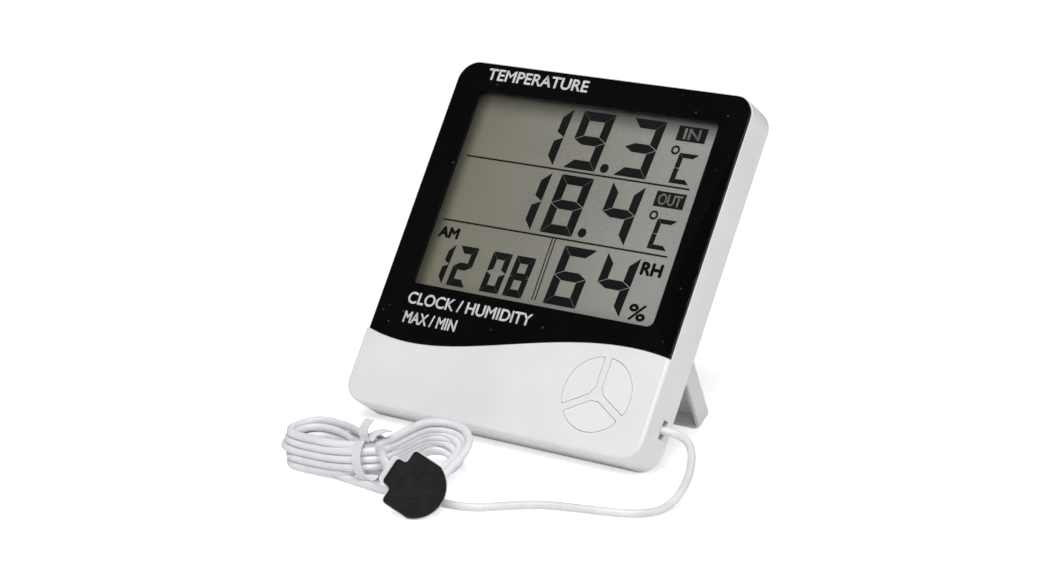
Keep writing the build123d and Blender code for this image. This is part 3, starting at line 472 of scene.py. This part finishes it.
# %% The tie round the hank
tie_width = 2.7
tie_thickness = 0.5
tie_middle = Vector((-8.9, -73.1, 6.75))
tie_half_depth = 6.7
tie_half_height = 6.2
tie_tilt = radians(-14)
tie_loop = start_piece("tie_loop", bpy.ops.mesh.primitive_cylinder_add, vertices=48, radius=1,
                       depth=tie_width, end_fill_type="NOTHING", rotation=(0, pi / 2, 0))
bake_place(tie_loop)
tie_loop.data.transform(Matrix.Diagonal((1, tie_half_depth, tie_half_height, 1)))
tie_loop.data.transform(Matrix.Rotation(tie_tilt, 4, "Y"))
tie_loop.data.transform(Matrix.Translation(tie_middle))


def tie_end(name, start, bends):
    """One standing end of the tie: a strip extruded along its bends."""
    strip = start_piece(name, bpy.ops.mesh.primitive_plane_add, size=tie_width)
    select_corners(strip, lambda corner: corner.y > 0)
    bpy.ops.mesh.delete(type="VERT")
    bpy.ops.object.mode_set(mode="OBJECT")
    strip.data.transform(Matrix.Translation(Vector((0, tie_width / 2, 0))))
    select_corners(strip, lambda corner: True)
    for bend in bends:
        bpy.ops.mesh.extrude_edges_move(TRANSFORM_OT_translate={"value": bend})
    bpy.ops.object.mode_set(mode="OBJECT")
    strip.data.transform(Matrix.Translation(start))
    return strip


tie_top = tie_middle + Vector((-1.4, 0, tie_half_height))
tie_parts = [tie_loop,
             tie_end("tie_end_left", tie_top + Vector((1.4, -3.0, -0.6)),
                     [(-0.2, -0.6, 2.0), (0.4, 0.2, 2.2), (1.0, 0.9, 1.8)]),
             tie_end("tie_end_right", tie_top + Vector((2.4, -2.6, -0.4)),
                     [(0.8, 0.6, 1.5), (1.4, 1.4, 0.9), (1.4, 1.6, 0.1)])]
twist_tie = join_pieces("twist_tie", tie_parts)
twist_tie.data.transform(Matrix.Scale(mm, 4))
add_modifier(twist_tie, "SOLIDIFY", thickness=tie_thickness * mm, offset=0)
add_modifier(twist_tie, "BEVEL", width=0.12 * mm, segments=2, limit_method="ANGLE", angle_limit=radians(40))
tie_finish = moulded("coated_paper_tie", "#e6e5ea", "#d9d8dd", 0.6, 0.25, 0.55)
complete(twist_tie, tie_finish)
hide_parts("hank_tie")

bare = probe_cord.copy()
bare.data = lead_curve.copy()
bare.data.bevel_depth = 0
bare_line = bpy.data.meshes.new_from_object(bare)
lead_length = sum((bare_line.vertices[edge.vertices[0]].co - bare_line.vertices[edge.vertices[1]].co).length
                  for edge in bare_line.edges)
print("the lead is", round(lead_length, 3), "m long")
bpy.data.objects.remove(bare)
bpy.data.meshes.remove(bare_line)

# %% [markdown]
# ## The case's finishes
# The housing, cover, stand, door and keys are injection-moulded ABS. The front is a smooth satin
# white, and the back has the fine spark-eroded grain that hides handling. The keys come from a
# polished mould, so they are a little glossier.

# %% White plastics
# the housing's finish carries painted shade, black in its well behind the lens
housing_finish = moulded("satin_white_abs", "#ecebeb", "#e6e4e4", 0.7, 0.06, 0.38, shade_the_well=True)
smooth_finish = moulded("satin_white_abs_small_parts", "#e9e7e7", "#e3e1e1", 0.7, 0.06, 0.38)
cover_finish = moulded("spark_eroded_white_abs", "#e8e6e5", "#e0dedd", 0.45, 0.35, 0.55)
key_finish = moulded("polished_white_abs", "#efeeee", "#eae8e8", 1.2, 0.04, 0.3)
coat(housing_finish, "front_housing")
coat(smooth_finish, "stand", "probe_housing")
coat(cover_finish, "rear_cover", "battery_door")
coat(key_finish, "mode_button", "memory_button", "adjust_button")
rubber_finish = moulded("grey_silicone_button", "#b9bab8", "#adaeac", 0.5, 0.2, 0.6)
coat(rubber_finish, "reset_button", "unit_button")

# %% [markdown]
# ### Clear acrylic over black print
# The panel is a clear cast-acrylic sheet, printed black on its back. What the eye meets is a gloss
# skin over a flat black. The sheet lets light straight through and mirrors a few parts in a hundred,
# so it is a transparent shader mixed with a mirror by the Fresnel law. Only the faces turned to the eye
# mirror; otherwise the far side of the sheet would add a second image and grey the black print.

# %% The lens and its print
lens_finish, tree, place = new_finish("clear_acrylic")
sheen = add_node(tree, "ShaderNodeFresnel", {"IOR": 1.3})
behind = add_node(tree, "ShaderNodeNewGeometry").outputs["Backfacing"]
front_sheen = add_node(tree, "ShaderNodeMath", {0: sheen.outputs["Fac"], 1: behind}, operation="SUBTRACT",
                       use_clamp=True)
wipe_marks = add_node(tree, "ShaderNodeTexNoise", {"Vector": place, "Scale": 1 / (14 * mm), "Detail": 6.0})
polish = add_node(tree, "ShaderNodeMapRange", {"Value": wipe_marks.outputs["Fac"], "From Min": 0.35,
                                               "From Max": 0.75, "To Min": 0.03, "To Max": 0.09})
through = add_node(tree, "ShaderNodeBsdfTransparent", {"Color": (0.985, 0.985, 0.985, 1)})
mirror = add_node(tree, "ShaderNodeBsdfGlossy", {"Roughness": polish.outputs["Result"]})
sheet = add_node(tree, "ShaderNodeMixShader", {0: front_sheen.outputs["Value"], 1: through.outputs["BSDF"],
                                               2: mirror.outputs["BSDF"]})
add_node(tree, "ShaderNodeOutputMaterial", {"Surface": sheet.outputs["Shader"]})
coat(lens_finish, "display_lens")
print_finish = moulded("black_screen_print", "#08080a", "#050506", 0.5, 0.03, 0.6, skin=0.02, dusty=True)
coat(print_finish, "lens_print")

# %% [markdown]
# ### The display
# A reflective display is a stack: a polariser, two glasses with the liquid between them, and a
# brushed reflector behind. Seen from the front it is one warm grey-green field with fine speckle, so
# the front polariser carries that look, and the glasses behind it are clear. A painted shadow darkens
# a few millimetres of it along the left and the top, where the window's frame shades it.

# %% The display's layers
film_finish, tree, place = new_finish("reflective_display_film")
speckle = add_node(tree, "ShaderNodeTexNoise", {"Vector": place, "Scale": 1 / (0.5 * mm), "Detail": 3.0})
clouds = add_node(tree, "ShaderNodeTexNoise", {"Vector": place, "Scale": 1 / (40 * mm), "Detail": 2.0})
mixed = add_node(tree, "ShaderNodeMath", {0: speckle.outputs["Fac"], 1: clouds.outputs["Fac"]})
across, up, depth = on_the_face(tree, place)
# the field runs from a darker, yellower grey at the left to a lighter grey at the right
left_to_right = add_node(tree, "ShaderNodeMapRange", {"Value": across, "From Min": -38.0, "From Max": 36.0})
field = blend(tree, 1.0, two_tones(tree, left_to_right.outputs["Result"], "#7c7a6a", "#9b9a96", 0, 1),
              two_tones(tree, mixed.outputs["Value"], "#ececec", "#ffffff", 0.75, 1.0), "MULTIPLY")
# painted shadow of the window's frame: the field is darkened along its left and top edges
for inward, edge, reach in ((across, window_left, 5.0), (up, window_top, -7.0)):
    shadow = add_node(tree, "ShaderNodeMapRange",
                      {"Value": inward, "From Min": edge, "From Max": edge + reach},
                      interpolation_type="SMOOTHSTEP")
    field = blend(tree, shadow.outputs["Result"], blend(tree, 1.0, field, "#8e8e8e", "MULTIPLY"), field)
film = add_node(tree, "ShaderNodeBsdfPrincipled", {"Base Color": field, "Roughness": 0.5, "IOR": 1.49,
                                                   "Specular IOR Level": 0.3})
add_node(tree, "ShaderNodeOutputMaterial", {"Surface": film.outputs["BSDF"]})
coat(film_finish, "lcd_front_polariser", "lcd_reflector")
glass_finish, tree, place = new_finish("soda_lime_glass")
glass_sheen = add_node(tree, "ShaderNodeFresnel", {"IOR": 1.52})
glass_tint = add_node(tree, "ShaderNodeBsdfTransparent", {"Color": srgb("#dfe8e2")})
glass_mirror = add_node(tree, "ShaderNodeBsdfGlossy", {"Roughness": 0.02})
glass = add_node(tree, "ShaderNodeMixShader", {0: glass_sheen.outputs["Fac"], 1: glass_tint.outputs["BSDF"],
                                               2: glass_mirror.outputs["BSDF"]})
add_node(tree, "ShaderNodeOutputMaterial", {"Surface": glass.outputs["Shader"]})
coat(glass_finish, "lcd_front_glass", "lcd_rear_glass")

# %% [markdown]
# ### The figures
# Each figure is built from up to seven bars. The bars at its sides are cut at forty-five degrees
# where they meet, and the middle bar is pointed. The seven are modelled on a figure of the largest
# size, once for each of three strokes, then copied, scaled and slanted a few degrees for each figure.

# %% Seven bars, modelled once
figure_width = 10.5
figure_height = 17.3
bar_gap = 0.06
slant = tan(radians(3.5))


def edge_bar(stroke, length, near_cut, far_cut):
    """A bar of a figure's outline: along x, its outer edge up, its inner corners drawn in."""
    bar = start_piece("edge_bar", bpy.ops.mesh.primitive_plane_add, size=1)
    bpy.ops.transform.resize(value=(length, stroke, 1))
    bake_place(bar)
    move_corners(bar, lambda corner: corner.x < 0 and corner.y < 0, (near_cut, 0, 0))
    move_corners(bar, lambda corner: corner.x > 0 and corner.y < 0, (-far_cut, 0, 0))
    return bar


def middle_bar(stroke, length, point):
    """The middle bar: a hexagon pulled out to its length, its points long enough to fill the notches."""
    radius = stroke / (2 * cos(radians(30)))
    bar = start_piece("middle_bar", bpy.ops.mesh.primitive_circle_add, vertices=6, radius=radius,
                      fill_type="NGON", rotation=(0, 0, pi / 6))
    bake_place(bar)
    if max(corner.co.x for corner in bar.data.vertices) < radius - 0.01:
        bar.data.transform(Matrix.Rotation(pi / 6, 4, "Z"))
    shoulder = length / 2 - point
    for side in (-1, 1):
        move_corners(bar, lambda corner: corner.x * side > 0, (side * (shoulder - radius / 2), 0, 0))
        move_corners(bar, lambda corner: corner.x * side > shoulder + 0.01,
                     (side * (point - radius / 2), 0, 0))
    return bar


def bar_set(stroke, notch):
    """The seven bars of the largest figure, from its stroke and its notch beside the middle bar."""
    flat_length = figure_width - 2 * bar_gap
    side_length = figure_height / 2 - 2 * bar_gap
    side_x = figure_width / 2 - stroke / 2
    side_y = figure_height / 4
    flat_y = figure_height / 2 - stroke / 2
    makers = {
        "a": (edge_bar, (flat_length, stroke, stroke), 0, (0, flat_y)),
        "b": (edge_bar, (side_length, stroke, notch), -90, (side_x, side_y)),
        "c": (edge_bar, (side_length, notch, stroke), -90, (side_x, -side_y)),
        "d": (edge_bar, (flat_length, stroke, stroke), 180, (0, -flat_y)),
        "e": (edge_bar, (side_length, stroke, notch), 90, (-side_x, -side_y)),
        "f": (edge_bar, (side_length, notch, stroke), 90, (-side_x, side_y)),
        "g": (middle_bar, (figure_width - 10 * bar_gap, stroke), 0, (0, 0)),
    }
    bars = {}
    for letter, (maker, sizes, turn, (x, y)) in makers.items():
        bars[letter] = maker(stroke, *sizes)
        bars[letter].data.transform(Matrix.Translation((x, y, 0)) @ Matrix.Rotation(radians(turn), 4, "Z"))
    return bars


# small figures have bolder strokes for their size, and the letter C has no middle bar to leave room for
bars_large = bar_set(2.7, 1.35)
bars_small = bar_set(3.1, 1.3)
bars_letter = bar_set(2.6, 0.2)
small_below = 14
print("corners of the bars:", {letter: len(bar.data.vertices) for letter, bar in bars_large.items()})

# %% The figures shown
bars_of = {"0": "abcdef", "1": "bc", "2": "abged", "3": "abgcd", "4": "fgbc", "6": "afgecd",
           "8": "abcdefg", "9": "abcdfg", "C": "afed"}
# (figure, left, right, bottom, top) of each figure's cell
figures_shown = [("1", -19.25, -7.7, 77.8, 95.1), ("9", -5.25, 6.3, 77.8, 95.1),
                 ("3", 11.4, 22.95, 77.8, 95.1), ("C", 29.3, 36.1, 78.0, 86.9),
                 ("1", -19.35, -7.8, 58.25, 75.75), ("8", -5.6, 6.1, 58.25, 75.75),
                 ("4", 11.4, 23.1, 58.25, 75.75), ("C", 29.3, 36.1, 58.75, 67.5),
                 ("1", -37.8, -30.8, 38.4, 50.4), ("2", -29.9, -22.9, 38.4, 50.4),
                 ("0", -18.5, -11.4, 38.4, 50.4), ("8", -10.6, -3.5, 38.4, 50.4),
                 ("6", 3.1, 14.75, 38.4, 55.6), ("4", 17.3, 28.9, 38.4, 55.6)]
figures_depth = 2.97
figure_pieces = []
for figure, left, right, bottom, top in figures_shown:
    height = top - bottom
    width = right - left - slant * height
    lean_right = Matrix(((1, slant, 0, 0), (0, 1, 0, 0), (0, 0, 1, 0), (0, 0, 0, 1)))
    fit = Matrix.Diagonal((width / figure_width, height / figure_height, 1, 1))
    spot = Matrix.Translation(((left + right) / 2, (bottom + top) / 2, 0))
    bars = bars_small if height < small_below else bars_large
    if figure == "C":
        bars = bars_letter
    for letter in bars_of[figure]:
        bar = copy_piece(bars[letter])
        bar.data.transform(spot @ lean_right @ fit)
        figure_pieces.append(bar)
for bar in (*bars_small.values(), *bars_large.values(), *bars_letter.values()):
    bpy.data.objects.remove(bar)


def flat_shape(name, primitive, left, right, bottom, top, **sizes):
    """A flat primitive stretched to fill a box on the face."""
    shape = start_piece(name, primitive, **sizes)
    bpy.ops.transform.resize(value=((right - left) / 2, (top - bottom) / 2, 1))
    bake_place(shape)
    shape.data.transform(Matrix.Translation(((left + right) / 2, (bottom + top) / 2, 0)))
    return shape


rule_width = 0.5
rules = [(-37.9, 36.4, 76.9 - rule_width / 2, 76.9 + rule_width / 2),
         (-38.2, 36.5, 57.2 - rule_width / 2, 57.2 + rule_width / 2),
         (-0.85, -0.5, 38.75, 57.0), (0.2, 0.55, 38.75, 57.0),
         (27.1, 36.3, 90.3, 94.7), (26.9, 36.3, 70.8, 75.3)]
for rule in rules:
    figure_pieces.append(flat_shape("rule", bpy.ops.mesh.primitive_plane_add, *rule, size=2))
for dot_across, dot_up in ((8.1, 79.2), (8.0, 59.9)):
    figure_pieces.append(flat_shape("dot", bpy.ops.mesh.primitive_circle_add, dot_across - 1.35,
                                    dot_across + 1.35, dot_up - 1.35, dot_up + 1.35,
                                    vertices=32, radius=1, fill_type="NGON"))
display_figures = join_pieces("display_figures", figure_pieces)
add_modifier(display_figures, "SOLIDIFY", thickness=0.02, offset=0)
display_figures.data.transform(on_front(figures_depth))
figures_finish = moulded("dark_liquid_crystal", "#141617", "#0f1112", 0.5, 0.02, 0.5, skin=0.1)
complete(display_figures, figures_finish)

# %% [markdown]
# ### Words
# The panel's words are screen-printed in white. The display's small words are part of its pattern.
# All are drawn as text, made into a mesh, and stretched to fill their own box on the face.


# %% Printed and displayed words
def words_on(name, words, box, place, finish, weight=0.0, body="case"):
    """Words as thin flat shapes that fill a box (left, right, bottom, top), made bolder by weight, in mm."""
    bpy.ops.object.select_all(action="DESELECT")
    bpy.ops.object.text_add()
    drawn = bpy.context.object
    drawn.data.body = words
    drawn.data.extrude = 0.01
    bpy.ops.object.convert(target="MESH")
    drawn = bpy.context.object
    drawn.name = name
    drawn.data.name = name
    left, right, bottom, top = box
    xs = [corner.co.x for corner in drawn.data.vertices]
    ys = [corner.co.y for corner in drawn.data.vertices]
    fit = Matrix.Diagonal(((right - left) / (max(xs) - min(xs)), (top - bottom) / (max(ys) - min(ys)), 1, 1))
    drawn.data.transform(Matrix.Translation((left, bottom, 0)) @ fit
                         @ Matrix.Translation((-min(xs), -min(ys), 0)))
    strokes = [drawn]
    for shift in ((-weight, 0, 0), (weight, 0, 0), (0, -weight, 0), (0, weight, 0)):
        strokes.append(copy_piece(drawn))
        strokes[-1].data.transform(Matrix.Translation(shift))
    drawn = join_pieces(name, strokes)
    drawn.data.transform(place)
    return complete(drawn, finish, body)


ink_finish = moulded("white_screen_ink", "#ffffff", "#fbfbfc", 0.5, 0.03, 0.5, skin=0.3)
field_finish = moulded("display_clear_letters", "#8f8c82", "#85827a", 0.5, 0.02, 0.5)
ink_depth = 1.185
words_on("words_temperature", "TEMPERATURE", (-38.9, -4.7, 99.85, 103.2), on_front(ink_depth),
         ink_finish, 0.1)
words_on("words_clock_humidity", "CLOCK / HUMIDITY", (-39.2, 2.6, 30.8, 34.15), on_front(ink_depth),
         ink_finish, 0.1)
words_on("words_max_min", "MAX / MIN", (-38.5, -20.6, 25.1, 28.4), on_front(ink_depth), ink_finish, 0.1)
words_on("display_in", "IN", (29.3, 34.3, 91.0, 94.0), on_front(figures_depth - 0.02), field_finish, 0.1)
words_on("display_out", "OUT", (28.0, 35.3, 71.5, 74.6), on_front(figures_depth - 0.02), field_finish, 0.08)
words_on("display_am", "AM", (-38.0, -31.5, 52.0, 55.0), on_front(figures_depth), figures_finish, 0.24)
words_on("display_rh", "RH", (30.0, 36.3, 51.25, 54.7), on_front(figures_depth), figures_finish, 0.24)
words_on("display_percent", "%", (30.3, 35.7, 38.4, 42.7), on_front(figures_depth), figures_finish, 0.18)
for row, ring_up in (("in", 87.5), ("out", 68.25)):
    ring = start_piece("display_degree_" + row, bpy.ops.mesh.primitive_torus_add, major_radius=1.05,
                       minor_radius=0.32, major_segments=32, minor_segments=8)
    ring.data.transform(on_front(figures_depth) @ Matrix.Translation((28.2, ring_up, 0))
                        @ Matrix.Diagonal((1, 1, 0.05, 1)))
    complete(ring, figures_finish)

# %% [markdown]
# ## The probe
# The probe is a small white ABS shell with a black foam pad stuck on its face, so it can be stuck to
# a wall or a window. The pad is closed-cell foam: matt, with pores that show only as a fine mottle,
# and it picks up a few specks of dust.

# %% The foam pad
foam_finish, tree, place = new_finish("black_closed_cell_foam")
pores = add_node(tree, "ShaderNodeTexVoronoi", {"Vector": place, "Scale": 1 / (0.35 * mm)})
mottle = add_node(tree, "ShaderNodeTexNoise", {"Vector": place, "Scale": 1 / (2.5 * mm), "Detail": 5.0})
tone = two_tones(tree, mottle.outputs["Fac"], "#171516", "#201e1f")
dusted = blend(tree, 1.0, tone, dust(tree, place, 2.2, "#5c5a5b"), "ADD")
pore_bump = add_node(tree, "ShaderNodeBump", {"Height": pores.outputs["Distance"], "Strength": 0.5,
                                              "Distance": 0.08 * mm})
foam = add_node(tree, "ShaderNodeBsdfPrincipled", {"Base Color": dusted, "Roughness": 0.85,
                                                   "Normal": pore_bump.outputs["Normal"],
                                                   "Specular IOR Level": 0.25})
add_node(tree, "ShaderNodeOutputMaterial", {"Surface": foam.outputs["BSDF"]})
coat(foam_finish, "probe_pad")

# %% [markdown]
# ## Inside
# Little of the inside shows: through the vents, round the battery when its door is off, and through
# the clear edge of the lens. Each piece still gets the finish of its real material.

# %% Inner finishes
board_finish = moulded("green_solder_mask", "#1f5a35", "#184a2b", 1.5, 0.1, 0.35)
black_finish = moulded("black_epoxy_and_nylon", "#17181a", "#101113", 0.6, 0.15, 0.45)
tan_finish = moulded("ceramic_chip_tan", "#b39b74", "#a08963", 0.4, 0.1, 0.5)
frame_finish = moulded("grey_display_frame", "#3a3b3d", "#333436", 0.7, 0.1, 0.5)
sensor_finish = moulded("white_sensor_cap", "#e4e6e8", "#dadcde", 0.5, 0.1, 0.5)
coat(board_finish, "circuit_board")
coat(black_finish, "controller_blob", "chip_resistors", "mode_switch", "memory_switch", "adjust_switch",
     "reset_switch", "unit_switch", "room_thermistor", "probe_bead")
coat(tan_finish, "chip_capacitors")
coat(frame_finish, "lcd_frame", "zebra_strip")
coat(sensor_finish, "humidity_sensor", "lead_header", "lead_stop")
coat(key_finish, "mode_plunger", "memory_plunger", "adjust_plunger", "reset_plunger", "unit_plunger")


def bright_metal(name, colour, shade, roughness):
    """Plated or polished metal with faint drawing lines."""
    finish, tree, place = new_finish(name)
    marks = add_node(tree, "ShaderNodeTexNoise", {"Vector": place, "Scale": 1 / (1.5 * mm), "Detail": 5.0})
    scratches = add_node(tree, "ShaderNodeBump", {"Height": marks.outputs["Fac"], "Strength": 0.1,
                                                  "Distance": 0.05 * mm})
    metal = add_node(tree, "ShaderNodeBsdfPrincipled",
                     {"Base Color": two_tones(tree, marks.outputs["Fac"], shade, colour), "Metallic": 1.0,
                      "Roughness": roughness, "Normal": scratches.outputs["Normal"]})
    add_node(tree, "ShaderNodeOutputMaterial", {"Surface": metal.outputs["BSDF"]})
    return finish


nickel_finish = bright_metal("nickel_plated_steel", "#c9c7c3", "#b3b1ad", 0.3)
brass_finish = bright_metal("brass_sheet", "#d3b56c", "#bd9f58", 0.3)
coat(nickel_finish, "battery_contact_plus", "battery_contact_minus", "battery_spring", "quartz_crystal",
     "board_screws", "case_screws")
coat(brass_finish, "sounder_disc")

# %% The battery's jacket
jacket_finish, tree, place = new_finish("printed_battery_jacket")
across, up, depth = on_the_face(tree, place)
printed = None
for band_up, colour in ((0.0, "#26364f"), (63.0, "#b98247"), (91.5, "#c9c7c3")):
    band = add_node(tree, "ShaderNodeMath", {0: up, 1: band_up}, operation="GREATER_THAN")
    printed = blend(tree, band.outputs["Value"], printed or colour, colour)
scuffs = add_node(tree, "ShaderNodeTexNoise", {"Vector": place, "Scale": 1 / (2 * mm), "Detail": 5.0})
rubbed = add_node(tree, "ShaderNodeMapRange", {"Value": scuffs.outputs["Fac"], "To Min": 0.2, "To Max": 0.45})
sleeve = add_node(tree, "ShaderNodeBsdfPrincipled",
                  {"Base Color": printed, "Roughness": rubbed.outputs["Result"], "Metallic": 0.35,
                   "IOR": 1.53})
add_node(tree, "ShaderNodeOutputMaterial", {"Surface": sleeve.outputs["BSDF"]})
coat(jacket_finish, "battery_cell")

# %% [markdown]
# ## On the back
# Four pan-head screws with cross recesses close the case. A screw is turned from wire: the head is
# rolled over and the recess is punched, so the head's rim is rounded and the cross has flat walls. The
# words beside the two small buttons and the arrow on the battery door stand a tenth of a millimetre
# proud, as they do when they are cut into the mould.

# %% The case screws
screw_head = 1.7
screw_head_height = 0.8
screw_shank = 0.85
screw_length = 7.0
screw = start_piece("case_screw", bpy.ops.mesh.primitive_cylinder_add, vertices=40, radius=screw_head,
                    depth=screw_head_height)
add_modifier(screw, "BEVEL", width=0.2, segments=3, limit_method="ANGLE", angle_limit=radians(40))
for recess_size in ((2.0, 0.42, 1.0), (0.42, 2.0, 1.0)):
    recess = start_piece("recess", bpy.ops.mesh.primitive_cube_add, size=1)
    bpy.ops.transform.resize(value=recess_size)
    bake_place(recess)
    recess.data.transform(Matrix.Translation((0, 0, 0.55)))
    add_modifier(screw, "BOOLEAN", object=recess, operation="DIFFERENCE", solver="EXACT")
    bpy.data.objects.remove(recess)
shank = start_piece("shank", bpy.ops.mesh.primitive_cylinder_add, vertices=24, radius=screw_shank,
                    depth=screw_length)
shank.data.transform(Matrix.Translation((0, 0, -(screw_length + screw_head_height) / 2)))
screw = join_pieces("case_screw", [screw, shank])
cover_back = 12.6
screws = []
for screw_across in (-44.4, 44.4):
    for screw_up in (6.0, 99.8):
        screws.append(copy_piece(screw))
        screws[-1].data.transform(on_back(cover_back - screw_head_height / 2)
                                  @ Matrix.Translation((screw_across, screw_up, 0)))
bpy.data.objects.remove(screw)
case_screws = complete(join_pieces("cross_recess_screws", screws), nickel_finish)
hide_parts("case_screws")

# %% Raised words and the door's arrow
button_pad_back = 15.75
door_back = 24.05
words_on("raised_reset", "RESET", (8.5, 17.5, 16.2, 18.0), on_back(button_pad_back), cover_finish)
words_on("raised_unit", "C / F", (-17.0, -9.0, 16.2, 18.0), on_back(button_pad_back), cover_finish)
arrow = start_piece("door_arrow", bpy.ops.mesh.primitive_cylinder_add, vertices=3, radius=2.2, depth=0.2)
arrow.data.transform(on_back(door_back) @ Matrix.Translation((30.0, 62.0, 0)))
complete(arrow, cover_finish, "battery_door")
